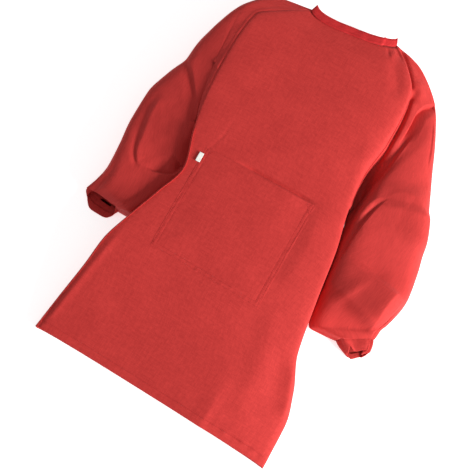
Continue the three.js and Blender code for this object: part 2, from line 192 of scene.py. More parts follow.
# %% A socket with arithmetic
class Thread:
    """A socket of a material. Arithmetic adds Math nodes, and add() any other node."""

    def __init__(self, material, socket=None):
        self.material = material
        self.socket = socket

    def add(self, kind, settings=None, values=None, output=0):
        node = self.material.node_tree.nodes.new(kind)
        for name, value in (settings or {}).items():
            if name == "stops":
                for element, (place, colour) in zip(node.color_ramp.elements, value):
                    element.position = place
                    element.color = colour
            else:
                setattr(node, name, value)
        for name, value in (values or {}).items():
            if isinstance(value, Thread):
                self.material.node_tree.links.new(value.socket, node.inputs[name])
            else:
                node.inputs[name].default_value = value
        return Thread(self.material, node.outputs[output])

    def maths(self, operation, *values):
        return self.add("ShaderNodeMath", {"operation": operation}, dict(enumerate(values)))

    def __add__(self, other):
        return self.maths("ADD", self, other)

    def __sub__(self, other):
        return self.maths("SUBTRACT", self, other)

    def __rsub__(self, other):
        return self.maths("SUBTRACT", other, self)

    def __mul__(self, other):
        return self.maths("MULTIPLY", self, other)

    __radd__ = __add__
    __rmul__ = __mul__

    def wave(self):
        return self.maths("SINE", self)


# %% [markdown]
# ## Smock cloth
# Painting smocks are cut from a dense plain weave, often polyester with a thin coating. From a step
# away it looks like one red, but it is never flat: the dye takes a little unevenly, single threads
# are thicker than their neighbours, and the fine crossing of the yarns breaks up every highlight. The
# weave is made from two waves that run along the cloth's own lengths, which each piece carries as a
# UV map in metres, so the yarns follow the cloth round every fold. The gloss is kept low, because a
# glossy cloth turns white when it is seen against a low light. A little sheen gives the pale bloom
# where cloth turns away.

# %% Cloth material
CLOTH_MAP = "cloth"
YARN_PITCH = 0.62 * MM
SLUB_SCALES = ((700.0, 45.0, 1.0), (45.0, 700.0, 1.0))
FINISH = SimpleNamespace(ramp_share=0.7, roughness=0.74, specular=0.18, sheen_roughness=0.35)
SHEEN_TINT = (1.0, 0.62, 0.58, 1.0)


def new_material(name):
    material = bpy.data.materials.new(name)
    material.use_nodes = True
    return material, material.node_tree.nodes["Principled BSDF"]


def link(thread, shader, socket):
    thread.material.node_tree.links.new(thread.socket, shader.inputs[socket])


def cloth_material(name, deep, main, pale, sheen, weave_depth):
    """Woven cloth between three shades of one dye."""
    material, shader = new_material(name)
    start = Thread(material)

    def noise(vector, **values):
        return start.add("ShaderNodeTexNoise", values={"Vector": vector, **values})

    lengths = start.add("ShaderNodeUVMap", {"uv_map": CLOTH_MAP})
    across = start.add("ShaderNodeSeparateXYZ", values={0: lengths})
    along = start.add("ShaderNodeSeparateXYZ", values={0: lengths}, output=1)
    clouds = noise(lengths, Scale=22.0, Detail=5.0, Roughness=0.6)
    grain = noise(lengths, Scale=650.0, Detail=2.0, Roughness=0.7)
    mottle = noise(lengths, Scale=210.0, Detail=3.0, Roughness=0.65)
    slubs = 0.0
    for scale in SLUB_SCALES:
        stretched = start.add("ShaderNodeMapping", values={"Vector": lengths, "Scale": scale})
        slubs = slubs + noise(stretched, Scale=1.0, Detail=2.0)
    turn = 2 * math.pi / YARN_PITCH
    weave = (across * turn).wave() * (along * turn).wave()
    fine = (mottle - 0.5) * 1.1 + (grain - 0.5) * 0.9 + (slubs - 1.0) * 0.7
    shade = (clouds - 0.5) * 0.9 + fine + weave * 0.06 + 0.5
    ramp = start.add(
        "ShaderNodeValToRGB",
        {"stops": [(0.0, deep), (1.0, pale)]},
        {"Fac": shade},
    )
    shades = {0: FINISH.ramp_share, 6: main, 7: ramp}
    colour = start.add("ShaderNodeMix", {"data_type": "RGBA"}, shades, output=2)
    link(colour, shader, "Base Color")
    link(FINISH.roughness + (grain - 0.5) * 0.16 + (clouds - 0.5) * 0.12, shader, "Roughness")
    height = weave * 0.5 + (grain - 0.5) * 1.2 + (slubs - 1.0) * 0.8 + (mottle - 0.5) * 1.6
    bump = start.add(
        "ShaderNodeBump", values={"Strength": 0.5, "Distance": weave_depth, "Height": height}
    )
    link(bump, shader, "Normal")
    shader.inputs["Specular IOR Level"].default_value = FINISH.specular
    shader.inputs["Sheen Weight"].default_value = sheen
    shader.inputs["Sheen Roughness"].default_value = FINISH.sheen_roughness
    shader.inputs["Sheen Tint"].default_value = SHEEN_TINT
    return material


RED_CLOTH = cloth_material(
    "red_cloth",
    deep=(0.385, 0.021, 0.019, 1),
    main=(0.505, 0.033, 0.029, 1),
    pale=(0.625, 0.048, 0.042, 1),
    sheen=0.08,
    weave_depth=0.10 * MM,
)
RED_BAND = cloth_material(
    "red_band",
    deep=(0.38, 0.010, 0.013, 1),
    main=(0.49, 0.018, 0.020, 1),
    pale=(0.62, 0.032, 0.032, 1),
    sheen=0.3,
    weave_depth=0.12 * MM,
)
# The thread is the same red as the cloth, but its shades here are darker: painted shade of the sunken
# stitches.
THREAD_WITH_PAINTED_SHADE = cloth_material(
    "red_thread_painted_shade",
    deep=(0.27, 0.007, 0.008, 1),
    main=(0.36, 0.011, 0.012, 1),
    pale=(0.47, 0.022, 0.022, 1),
    sheen=0.35,
    weave_depth=0.05 * MM,
)
WHITE_TAPE = cloth_material(
    "white_tape",
    deep=(0.66, 0.63, 0.57, 1),
    main=(0.82, 0.80, 0.75, 1),
    pale=(0.92, 0.90, 0.86, 1),
    sheen=0.2,
    weave_depth=0.10 * MM,
)
RED_TAPE = cloth_material(
    "red_tape",
    deep=(0.26, 0.007, 0.010, 1),
    main=(0.36, 0.012, 0.015, 1),
    pale=(0.46, 0.022, 0.024, 1),
    sheen=0.4,
    weave_depth=0.22 * MM,
)
CLOTHS = (RED_CLOTH, RED_BAND, THREAD_WITH_PAINTED_SHADE, WHITE_TAPE, RED_TAPE)
print("cloths:", ", ".join(cloth.name for cloth in CLOTHS))

# %% [markdown]
# ## From a grid of points to cloth
# Every piece starts as a grid of points on its outer side. Cloth has thickness, so the mesh gets a
# Solidify modifier that adds the inner side, and raw edges are turned under as a sewer would do it:
# extra rows roll round the edge and run back inside. The UV map holds lengths measured along the
# cloth itself.

# %% Grid helpers
CLOTH = 0.7


def unit(vectors):
    return vectors / np.maximum(np.linalg.norm(vectors, axis=-1, keepdims=True), 1e-9)


def skin_normals(points, ring=False):
    """Outward normals of a grid, from its neighbours along rows and columns."""
    along = np.gradient(points, axis=0)
    if ring:
        across = np.roll(points, -1, axis=1) - np.roll(points, 1, axis=1)
    else:
        across = np.gradient(points, axis=1)
    return unit(np.cross(across, along))


def line_lengths(line):
    """Length from a line's start to each of its points."""
    return np.concatenate([[0], np.cumsum(np.linalg.norm(np.diff(line, axis=0), axis=1))])


def at_lengths(places, lengths, values):
    """Values of a line at these lengths along it."""
    return np.stack([np.interp(places, lengths, values[:, k]) for k in range(3)], axis=1)


def even_rows(points, count):
    """The same rows with count points, spaced evenly along each row."""
    gaps = np.linalg.norm(np.diff(points, axis=1), axis=2)
    lengths = np.concatenate([np.zeros((len(points), 1)), np.cumsum(gaps, axis=1)], axis=1)
    rows = []
    for row, length in zip(points, lengths):
        places = np.linspace(0, 1, count) * length[-1]
        rows.append(at_lengths(places, length, row))
    return np.array(rows)


def even_levels(line, last, spacings):
    """Row numbers whose points on a line of the surface are spaced as (length, spacing) pairs say."""
    t = np.linspace(0, last, 2000)
    points = line(t)
    length = line_lengths(points)
    places = [0.0]
    for reach, spacing in spacings:
        stop = length[-1] if reach is None else reach
        count = max(1, round((stop - places[-1]) / spacing))
        places.extend(np.linspace(places[-1], stop, count + 1)[1:])
    return np.interp(places, length, t)


def turn_under(points, radius, depth, ring=False, inside=5, round_steps=6):
    """Rolls the cloth's first row under and runs it back inside for that depth."""
    normals = skin_normals(points, ring)
    lengths = np.concatenate(
        [[0], np.cumsum(np.linalg.norm(np.diff(points, axis=0), axis=2).mean(axis=1))]
    )
    rows = []
    for reach in np.linspace(depth, 0, inside):
        place = np.interp(reach, lengths, np.arange(len(points)))
        low = min(int(place), len(points) - 2)
        share = place - low
        point = mix(points[low], points[low + 1], share)
        normal = unit(mix(normals[low], normals[low + 1], share))
        rows.append(point - 2 * radius * normal)
    outward = unit(points[0] - points[1])
    for angle in np.linspace(np.pi, 0, round_steps + 1)[1:-1]:
        rolled = outward * radius * math.sin(angle) - normals[0] * radius * (1 - math.cos(angle))
        rows.append(points[0] + rolled)
    return np.concatenate([np.array(rows), points])


def last_row(edit, points, **options):
    """Applies an edit of the first row to the last row instead."""
    flipped = edit(points[::-1, ::-1], **options)
    return flipped[::-1, ::-1]


# %% Mesh helpers
def cloth_lengths(points, ring):
    """Lengths along rows and columns at every grid point, in metres."""
    closed = np.concatenate([points, points[:, :1]], axis=1) if ring else points
    across = np.linalg.norm(np.diff(closed, axis=1), axis=2)
    across = np.concatenate([np.zeros((len(closed), 1)), np.cumsum(across, axis=1)], axis=1)
    along = np.linalg.norm(np.diff(closed, axis=0), axis=2)
    along = np.concatenate([np.zeros((1, closed.shape[1])), np.cumsum(along, axis=0)], axis=0)
    across = across - across[:, across.shape[1] // 2][:, None]
    return np.stack([across, along], axis=-1) * MM


def mesh_piece(name, vertices, faces, lengths, material):
    """A smooth mesh object in the frame, with its cloth lengths as a UV map."""
    mesh = bpy.data.meshes.new(name)
    mesh.from_pydata(to_frame(vertices).tolist(), [], faces.tolist())
    layer = mesh.uv_layers.new(name=CLOTH_MAP)
    layer.uv.foreach_set("vector", lengths.astype(np.float32).ravel())
    mesh.shade_smooth()
    mesh.materials.append(material)
    mesh.validate()
    piece = bpy.data.objects.new(name, mesh)
    bpy.context.collection.objects.link(piece)
    return piece


def sew(name, points, material, thick=CLOTH, ring=False):
    """Cloth through a grid of points. ring joins each row's end to its start."""
    rows, columns = points.shape[:2]
    wide = columns if ring else columns - 1
    i, j = np.meshgrid(np.arange(rows - 1), np.arange(wide), indexing="ij")
    corners = [(i, j), (i, j + 1), (i + 1, j + 1), (i + 1, j)]
    faces = np.stack([a * columns + b % columns for a, b in corners], axis=-1).reshape(-1, 4)
    lengths = cloth_lengths(points, ring)
    uv = np.stack([lengths[a, b] for a, b in corners], axis=2).reshape(-1, 2)
    piece = mesh_piece(name, points.reshape(-1, 3), faces, uv, material)
    if thick:
        wall = piece.modifiers.new("cloth_thickness", "SOLIDIFY")
        wall.thickness = thick * MM
        wall.offset = -1
    return piece


def dress(piece, slot, *nodes):
    """The piece lies on the smock's one body and stands for these solids."""
    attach(piece, "root")
    if nodes:
        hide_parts(*nodes)
    return piece


def area_of(points):
    """Area of a grid of points in square metres."""
    a = points[1:, 1:] - points[:-1, :-1]
    b = points[1:, :-1] - points[:-1, 1:]
    return float(np.linalg.norm(np.cross(a, b), axis=2).sum() / 2) * MM * MM


# %% [markdown]
# ## Folds
# Stiff cloth doesn't ripple everywhere. It breaks into a few long folds that start at a seam or a
# squeezed spot. Each fold here is a line in plan with a rise (a valley has a negative one), a width
# on either side, and a sharpness: 0 is a soft swell and 1 is a pressed crease. Sculpting by hand
# would give the same shapes, but a table can be read and corrected.


# %% Fold helpers
CREASE_REACH = 1.5
CREST_ROUND = 0.06
FOOT_ROUND = 0.16
SHORT_FADE = 1e-3


def bent_line(points, count=48):
    """A smooth line through a few points of the plan."""
    points = np.array(points, float)
    curves = [column_curve(points[:, k]) for k in range(2)]
    t = np.linspace(0, len(points) - 1, count)
    return np.stack([curve(t) for curve in curves], axis=1)


def along_line(x, y, line):
    """Signed distance from a line in plan (positive on its left) and the share of the way along it."""
    place = np.stack([x, y], axis=-1)
    best = np.full(x.shape, np.inf)
    side = np.ones(x.shape)
    share = np.zeros(x.shape)
    lengths = line_lengths(line)
    for k in range(len(line) - 1):
        step = line[k + 1] - line[k]
        size = max(step @ step, 1e-9)
        f = np.clip(((place - line[k]) @ step) / size, 0, 1)
        away = place - line[k] - f[..., None] * step
        distance = np.linalg.norm(away, axis=-1)
        nearer = distance < best
        best = np.where(nearer, distance, best)
        turn = step[0] * away[..., 1] - step[1] * away[..., 0]
        side = np.where(nearer, np.where(turn >= 0, 1.0, -1.0), side)
        share = np.where(nearer, mix(lengths[k], lengths[k + 1], f) / lengths[-1], share)
    return best * side, share


def end_fade(share, fade_in, fade_out):
    """1 along a line, running out to 0 over these shares of it at its two ends."""
    return smooth(share, 0, max(fade_in, SHORT_FADE)) * smooth(1 - share, 0, max(fade_out, SHORT_FADE))


def fold_height(x, y, folds):
    """Height that the folds give a point of the plan, in millimetres."""
    height = np.zeros(x.shape)
    for rise, left, right, sharp, fade_in, fade_out, points in folds:
        distance, share = along_line(x, y, bent_line(points))
        near = np.abs(distance) / np.where(distance > 0, left, right)
        soft = np.exp(-near * near)
        slope = 1 + CREST_ROUND - np.sqrt(near * near + CREST_ROUND**2) / CREASE_REACH
        crease = 0.5 * (slope + np.sqrt(slope * slope + FOOT_ROUND**2))
        fade = end_fade(share, fade_in, fade_out)
        height += rise * fade * mix(soft, crease, sharp)
    return height


LAP_RECOVER = 1.4


def lap_height(x, y, laps):
    """Height where one layer of cloth laps over the next one. The upper layer is on the line's left."""
    height = np.zeros(x.shape)
    for rise, sink, upper, lower, step, fade_in, fade_out, points in laps:
        distance, share = along_line(x, y, bent_line(points))
        fade = end_fade(share, fade_in, fade_out)
        away = np.maximum(0, np.abs(distance) - step)
        over = smooth(distance, -step, step)
        under = -sink * np.clip(1 - away / lower, 0, 1) ** LAP_RECOVER
        height += fade * mix(under, rise * np.exp(-away / upper), over)
    return height


UNEVEN = SimpleNamespace(waves=7, peak=3.2, shortest=0.6, spread=0.9)


def uneven(x, y, size, seed):
    """Gentle unevenness of cloth that lies loose: a few crossing waves, about -1 to 1."""
    random = np.random.default_rng(seed)
    total = np.zeros(np.shape(x))
    for turn, phase, stretch in random.uniform(0, 1, (UNEVEN.waves, 3)):
        angle = turn * math.pi
        length = size * (UNEVEN.shortest + UNEVEN.spread * stretch)
        wave = (x * math.cos(angle) + y * math.sin(angle)) * 2 * np.pi / length
        total += np.sin(wave + phase * 2 * np.pi)
    return total / UNEVEN.peak


def loosen(height, x, y, rows):
    """The height with unevenness added, one (rise, size, seed) row after another."""
    for rise, size, seed in rows:
        height = height + rise * uneven(x, y, size, seed)
    return height


# %% [markdown]
# ## Front
# The front is one wide panel. It is crowned where it bridges the hollow inside, drops steeply at the
# side seam on the left, falls more evenly on the right, and runs out nearly flat at the hem. A
# pressed crease climbs from the hem, and the cloth beside the pocket and above the right corner of
# the hem breaks into soft ridges. The last row of its folds is a dip just above the pocket's mouth,
# which makes the mouth's dark line.

# %% Front skin
BODY_SQUARE = SimpleNamespace(left=0.22, right=0.8)
SIDE_ROUND = SimpleNamespace(left_skirt=0.62, right_skirt=1.0, left_raglan=0.9, right_raglan=0.6)
# rise, width left, width right, sharpness, fade in, fade out, line from start to end
FRONT_FOLDS = [
    (1.0, 5, 4, 0.7, 0.25, 0.15, [(-127, -52), (-135, -86), (-147, -140), (-155, -179), (-162, -202)]),
    (8.0, 190, 60, 1.0, 0.0, 0.75, [(70, -236), (74, -186), (75, -160), (73, -110)]),
    (0.8, 14, 6, 1.0, 0.0, 0.6, [(70, -236), (74, -186), (75, -160)]),
    (1.4, 26, 13, 0.6, 0.2, 0.3, [(74, 88), (87, 43), (88, 0), (78, -42)]),
    (1.1, 14, 14, 0.1, 0.2, 0.2, [(82, -52), (92, -80), (99, -120), (106, -175), (128, -214)]),
    (-1.6, 13, 12, 0.1, 0.3, 0.3, [(116, -92), (124, -115), (131, -143), (137, -160), (144, -184)]),
    (1.8, 7, 8, 0.3, 0.3, 0.3, [(138, -108), (151, -137), (157, -155), (159, -180)]),
    (1.0, 12, 10, 0.1, 0.3, 0.2, [(98, 204), (96, 183), (101, 153), (106, 122), (111, 92)]),
    (-3.0, 13, 13, 1.0, 0.0, 0.5, [(70, 352), (74, 336), (88, 314)]),
    (-1.0, 1.7, 1.7, 0.8, 0.1, 0.3, [(56, 329), (66, 320)]),
    (1.6, 3, 3, 0.6, 0.2, 0.1, [(66, 317), (70, 331)]),
    (-1.6, 9, 9, 0.1, 0.2, 0.3, [(72, 318), (86, 295), (101, 262)]),
    (-0.3, 2, 2, 0.7, 0.2, 0.5, [(-88, 78), (-82, 86), (-73, 117), (-72, 146)]),
    (-3.2, 2.4, 2.8, 0.6, 0.3, 0.2, [(-50, 85.8), (20, 83.4), (76, 81.2)]),
]
# rise, size and seed
FRONT_LOOSE = [(0.3, 130, 3), (0.08, 46, 4)]
HALVINGS = 36


def front_skin(t, offset):
    """The front without folds. offset goes from -1 at the left seam to 1 at the right."""
    row = body_at(t)
    left = offset < 0
    across = np.abs(offset) ** (1 / np.where(left, BODY_SQUARE.left, BODY_SQUARE.right))
    raglan = np.where(left, SIDE_ROUND.left_raglan, SIDE_ROUND.right_raglan)
    skirt = np.where(left, SIDE_ROUND.left_skirt, SIDE_ROUND.right_skirt)
    power = mix(raglan, skirt, row.wrap)
    rise = np.clip(1 - across**2, 0, 1) ** (power / 2)
    x, y = across_row(row, (1 + offset) / 2)
    edge = np.where(left, row.left_edge, row.right_edge)
    return np.stack([x, y, mix(edge, row.crown, rise)], axis=-1), rise


def front_fold(x, y):
    return loosen(fold_height(x, y, FRONT_FOLDS), x, y, FRONT_LOOSE)


def front_height(x, y):
    """Height of the front with its folds, over points of the plan."""
    low = np.zeros(np.shape(x))
    high = np.full(np.shape(x), float(NECK))
    for _ in range(HALVINGS):
        middle = (low + high) / 2
        row = body_at(middle)
        level_y = across_row(row, (x - row.left_x) / (row.right_x - row.left_x))[1]
        below = level_y < y
        low = np.where(below, middle, low)
        high = np.where(below, high, middle)
    row = body_at(low)
    offset = np.clip(2 * (x - row.left_x) / (row.right_x - row.left_x) - 1, -1, 1)
    skin, rise = front_skin(low, offset)
    return skin[..., 2] + rise * front_fold(x, y)


# %% Front panel
FRONT_ACROSS = 168
FRONT_DENSE = 1401
SIDE_FLAP = (0.6, 1.8, 4.0, 8.0, 14.0, 24.0)
FLAP = SimpleNamespace(inward=0.08, floor=0.8)
HEM_TURN = SimpleNamespace(radius=0.9, depth=9.0)
HEM_STITCH = SimpleNamespace(
    inset=9.5, groove=0.4, width=1.3, pucker=0.4, reach=5.0, length=17.0,
    smooth_to=20, puckered_from=100,
)
# reach from the hem and spacing up to there: closer at the hem and beside the pocket's mouth
FRONT_SPACING = [(12, 1.0), (24, 1.6), (298, 2.6), (318, 0.8), (None, 2.6)]
SIDE_FADE = 0.03


def middle_line(t):
    """Points of the front, without folds, on the line that halves every level."""
    return front_skin(t, np.zeros_like(t))[0]


front_levels = even_levels(middle_line, NECK, FRONT_SPACING)
dense_offsets = np.sin(np.linspace(-np.pi / 2, np.pi / 2, FRONT_DENSE))
dense_front = front_skin(front_levels[:, None], dense_offsets[None, :])[0]
front_points = even_rows(dense_front, FRONT_ACROSS)
front_normals = skin_normals(front_points)
from_left = np.linspace(0, 1, FRONT_ACROSS)
from_right = np.linspace(1, 0, FRONT_ACROSS)
side_fade = smooth(from_left, 0, SIDE_FADE) * smooth(from_right, 0, SIDE_FADE)
front_lift = front_fold(front_points[..., 0], front_points[..., 1]) * side_fade
hem_reach = np.linalg.norm(np.diff(front_points, axis=0), axis=2).cumsum(axis=0)
hem_reach = np.concatenate([np.zeros((1, FRONT_ACROSS)), hem_reach]) - HEM_STITCH.inset
hem_pucker = uneven(front_points[..., 0], front_points[..., 1], HEM_STITCH.length, 5)
hem_pucker *= smooth(front_points[..., 0], HEM_STITCH.smooth_to, HEM_STITCH.puckered_from)
front_lift -= HEM_STITCH.groove * np.exp(-((hem_reach / HEM_STITCH.width) ** 2))
front_lift += HEM_STITCH.pucker * hem_pucker * np.exp(-((hem_reach / HEM_STITCH.reach) ** 2))
front_points = front_points + front_normals * front_lift[..., None]
neck_edge = front_points[-1]


def side_flaps(points):
    """Adds a strip that hangs down inside both side seams, so that no gap shows beside the sleeves."""
    sides = []
    for edge, inward in ((points[:, :1], 1.0), (points[:, -1:], -1.0)):
        columns = []
        for drop in SIDE_FLAP:
            column = edge + np.array([FLAP.inward * drop * inward, 0, -drop])
            column[..., 2] = np.maximum(column[..., 2], np.minimum(FLAP.floor, edge[..., 2]))
            columns.append(column)
        sides.append(np.concatenate(columns, axis=1))
    return np.concatenate([sides[0][:, ::-1], points, sides[1]], axis=1)


front_points = turn_under(side_flaps(front_points), HEM_TURN.radius, HEM_TURN.depth)
front = dress(sew("front_panel_cloth", front_points, RED_CLOTH), "cloth_red", "front_panel")
print("front", front_points.shape, "area", round(area_of(front_points), 4), "m2")

# %% [markdown]
# ## Back panels
# The back opens down the middle, so it is two panels whose edges lie one over the other. They turn
# in under the sides and lie flat on the floor. Little of them is seen, so they are finished plainly,
# with their own turned hem. Each tucks inside the front's side edge, where the side seam is.

# %% Back panels
BACK = SimpleNamespace(
    overlap=36.0, ramp=14.0, climb=3.7, tuck=20.0, below_front=1.3, seam_in=1.0, under_sleeve=4.0
)
# how far each half reaches up inside the front: 1 is the left half, -1 the right
BACK_SEAM_UP = {1: 0.3, -1: 4.0}
BACK_SPACING = [(12, 1.5), (None, 4.2)]
BACK_ACROSS = 72


def back_panel(side):
    """Outer skin of one back panel, from its side seam down and in to the centre back."""
    half = BACK.overlap / 2
    rows = []
    for t in even_levels(middle_line, NECK, BACK_SPACING):
        row = body_at(t)
        width = math.hypot(row.right_x - row.left_x, row.right_y - row.left_y)
        edge = row.right_edge if side > 0 else row.left_edge
        rise = max(0.0, (edge - BACK.below_front) * row.wrap)
        tuck = BACK.tuck * min(1, edge / BACK.tuck)
        turns = np.linspace(0, np.pi / 2, 40)
        inset = tuck * (1 - np.cos(turns)) + (row.wrap - 1) * BACK.under_sleeve
        inset = inset + BACK.seam_in * smooth(turns, 0.5, 0)
        height = rise * (1 - np.sin(turns))
        short = np.linspace(width / 2 - inset[-1], -half, 60)[1:]
        climb = BACK.climb * smooth(short, half + BACK.ramp, half + 1) * (side > 0)
        inset = np.concatenate([[BACK.seam_in * 2], inset, width / 2 - short])
        height = np.concatenate([[rise + BACK_SEAM_UP[side] * row.wrap], height, climb])
        share = 1 - inset / width if side > 0 else inset / width
        x, y = across_row(row, share)
        rows.append(np.stack([x, y, height], axis=1))
    points = even_rows(np.array(rows), BACK_ACROSS)
    points = points if side > 0 else points[:, ::-1]
    return turn_under(points, HEM_TURN.radius, HEM_TURN.depth)


back_points = {"left": back_panel(1), "right": back_panel(-1)}
backs = {
    hand: dress(sew(f"back_panel_{hand}_cloth", points, RED_CLOTH), "cloth_red", f"back_panel_{hand}")
    for hand, points in back_points.items()
}
print("backs", [round(area_of(points), 4) for points in back_points.values()], "m2")

# %% [markdown]
# ## Sleeves
# A raglan sleeve is sewn to the body along a slant from underarm to neck, so its first ring follows
# that seam and the next rings swing round into a tube. Each ring is one table row: its inner and
# outer side in plan, its height, how far the outer side leans down, how square that side is, how
# closely the ring keeps to the seam, and how deep its gathers are. The sleeve's own folds are what
# the eye reads first: the squeezed crook of the elbow, the long break below the shoulder, and the
# crest above the wrist. The hollow under the arm is pressed down as a share of the height, so that
# the sleeve's flank sinks along with its top.

# %% Sleeve and cuff tables
SLEEVE_COLUMNS = "inner_x inner_y outer_x outer_y height lean outer_square seam gather"
left_sleeve_at = table(
    SLEEVE_COLUMNS,
    [
        (110.5, 100, 66.5, 343, 40, 0.3, 0.72, 1, 0),
        (111.5, 101, 102, 333.5, 41, 0.6, 0.72, 0.75, 0),
        (111, 100, 146, 296, 44, 0.5, 0.72, 0.3, 0),
        (111, 98, 168, 250, 48, 0.36, 0.72, 0.1, 0),
        (111.5, 94, 187, 198, 51, 0.34, 0.72, 0, 0),
        (114, 86, 203, 152, 52, 0.22, 0.7, 0, 0),
        (117, 66, 217, 108, 52, 0.22, 0.66, 0, 0),
        (122, 34, 226, 66, 51, 0.22, 0.62, 0, 0),
        (125.5, 4, 229, 30, 46, 0.02, 0.54, 0, 0),
        (128, -36, 221, -6, 29, -0.55, 0.4, 0, 0.03),
        (138, -54, 212, -24, 17, -0.7, 0.45, 0, 0.09),
        (172, -53, 211, -33, 19, -0.1, 0.6, 0, 0.18),
    ],
)
right_sleeve_at = table(
    SLEEVE_COLUMNS,
    [
        (-113.5, 98, -58.5, 335, 40, 0.1, 0.72, 1, 0),
        (-112, 99, -101, 334, 44, 0.1, 0.6, 0.75, 0),
        (-111, 98, -141, 306, 50, 0.12, 0.5, 0.3, 0),
        (-109.5, 95, -164, 256, 51, 0.14, 0.45, 0.1, 0),
        (-108.5, 92, -174, 217, 50, 0.11, 0.45, 0, 0),
        (-108, 90, -175.5, 196, 49, 0.1, 0.45, 0, 0),
        (-104, 83, -188, 164, 48, 0.1, 0.45, 0, 0),
        (-100, 68, -199, 126, 47, 0.13, 0.45, 0, 0),
        (-95, 44, -200, 86, 46, 0.17, 0.45, 0, 0),
        (-108, 8, -195, 44, 45, 0.06, 0.5, 0, 0),
        (-121, -18, -193, 12, 43, 0.04, 0.55, 0, 0.02),
        (-136, -33, -197, -9, 36, 0.04, 0.6, 0, 0.06),
        (-157, -31, -204, -24, 23, 0.05, 0.7, 0, 0.13),
    ],
)
left_cuff_at = table(
    SLEEVE_COLUMNS,
    [
        (171.5, -50.5, 209.5, -31, 18, 0, 0.6, 0, 0.18),
        (180, -59, 212, -43, 17, 0, 0.7, 0, 0.26),
        (189, -66, 213, -55, 15, 0, 0.72, 0, 0.34),
    ],
)
right_cuff_at = table(
    SLEEVE_COLUMNS,
    [
        (-157.3, -28, -203, -21, 22, 0.05, 0.7, 0, 0.13),
        (-157, -38, -206, -32, 17, 0.1, 0.66, 0, 0.05),
        (-159, -47, -203, -43, 13, 0.1, 0.6, 0, 0.02),
    ],
)

# %% Sleeve folds
# rise, width left, width right, sharpness, fade in, fade out, line from start to end
LEFT_FOLDS = [
    (-4.5, 3, 3, 0.6, 0.05, 0.1, [(72, 343), (90, 323.5), (99.5, 311), (112.5, 290.5)]),
    (-6.0, 4, 3, 0.5, 0.1, 0.2, [(113, 291), (115.5, 272), (119, 240), (117.5, 201), (115, 165)]),
    (-2.0, 5, 4, 0.4, 0.3, 0.3, [(113, 299), (118, 288), (120, 274)]),
    (1.6, 7, 5, 0.2, 0.3, 0.3, [(113, 313), (121, 298), (127, 284)]),
    (-6.0, 15, 8, 0.3, 0.2, 0.4, [
        (122, 214), (117, 190), (113, 165), (111, 140), (112, 112), (115, 80), (120, 45), (124, 8)]),
    (3.0, 6, 6, 0.4, 0.4, 0.4, [(150, 141), (139, 128), (131, 111), (127, 97), (125, 81), (124, 62)]),
    (4.2, 12, 18, 0.9, 0.4, 0.15, [
        (140, 112), (149, 136), (165, 151), (180, 153), (197, 141), (208, 122), (213, 100), (214, 82)]),
    (1.6, 10, 12, 0.8, 0.0, 0.5, [(238, 26), (226, 29), (205, 33), (186, 33), (168, 22)]),
    (6.0, 10, 58, 1.0, 0.18, 0.5, [(204, 152), (212, 122), (215, 95), (217, 66)]),
    (9.0, 10, 74, 1.0, 0.2, 0.3, [(214, 32), (209, 8), (205, -14), (199, -34)]),
    (1.4, 6, 9, 0.3, 0.4, 0.3, [(182, 28), (169, 14), (157, -6), (144, -28)]),
]
RIGHT_FOLDS = [
    (0.5, 1.3, 1.3, 0.6, 0.1, 0.1, [
        (-122.7, 140), (-127.7, 195), (-128.8, 240), (-124.5, 289), (-92.8, 316.5), (-60, 337.5)]),
    (-4.0, 14, 10, 0.1, 0.3, 0.2, [(-114, 96), (-109, 74), (-105, 56), (-108, 40)]),
]
# share of the height that is pressed down, then widths, sharpness, fades and line as for folds
LEFT_PRESSED = [
    (0.48, 8, 16, 0.3, 0.3, 0.7, [
        (121, 190), (116, 155), (115, 128), (115, 105), (117, 80), (121, 40)]),
]
# rise, sink, upper width, lower width, step, fade in, fade out, line with the upper layer on its left
LEFT_LAPS = [
    (0.6, 7.5, 10, 15, 0.6, 0.35, 0.0, [
        (129, 212), (131, 228), (132, 245), (132, 263), (136, 278), (147, 292), (158, 300)]),
    (1.5, 2.5, 14, 12, 2.6, 0.3, 0.3, [(141, 244), (137, 216), (133, 190), (130, 164), (127, 138)]),
    (1.6, 0.4, 9, 5, 0.6, 0.25, 0.3, [(156, 268), (163, 250), (171, 226), (178, 200)]),
    (0.8, 3.6, 12, 9, 1.4, 0.3, 0.4, [
        (152, 137), (143, 116), (136, 88), (132, 60), (131, 26), (132, 4)]),
]
RIGHT_LAPS = [
    (0.8, 2.2, 12, 13, 3.0, 0.12, 0.0, [
        (-176, 198), (-168, 185), (-154, 169), (-142, 153), (-129, 135), (-117, 115)]),
    (1.0, 1.6, 14, 12, 5.0, 0.3, 0.3, [(-178, 132), (-180, 106), (-178, 85), (-172, 59), (-167, 42)]),
    (0.8, 1.5, 9, 7, 2.0, 0.5, 0.25, [(-177, 74), (-172, 56), (-166, 39), (-158, 29), (-150, 27)]),
    (0.5, 6.0, 10, 22, 0.8, 0.0, 0.5, [
        (-103, 54), (-106, 43), (-111, 36), (-119, 32), (-137, 28), (-150, 27)]),
    (1.2, 0.4, 8, 4, 0.8, 0.4, 0.1, [(-143, 203), (-136, 198), (-125, 190)]),
]

# %% Sleeve skin
SLEEVE_SQUARE = SimpleNamespace(inner=0.55, inner_top=0.85, outer=0.72, top=0.8, under=0.42)
SHOULDER_TURN = 0.2
SLEEVE_TOP = 116
SLEEVE_UNDER = 36
SLEEVE_SPACING = 1.4
SEAM_TUCK = SimpleNamespace(inward=9.0, neckward=0.25, down=3.0, floor=0.3, rows=4)
SEAM_GAP = 0.3
FLOOR_GAP = 0.2


def signed_power(value, power):
    return np.sign(value) * np.abs(value) ** power


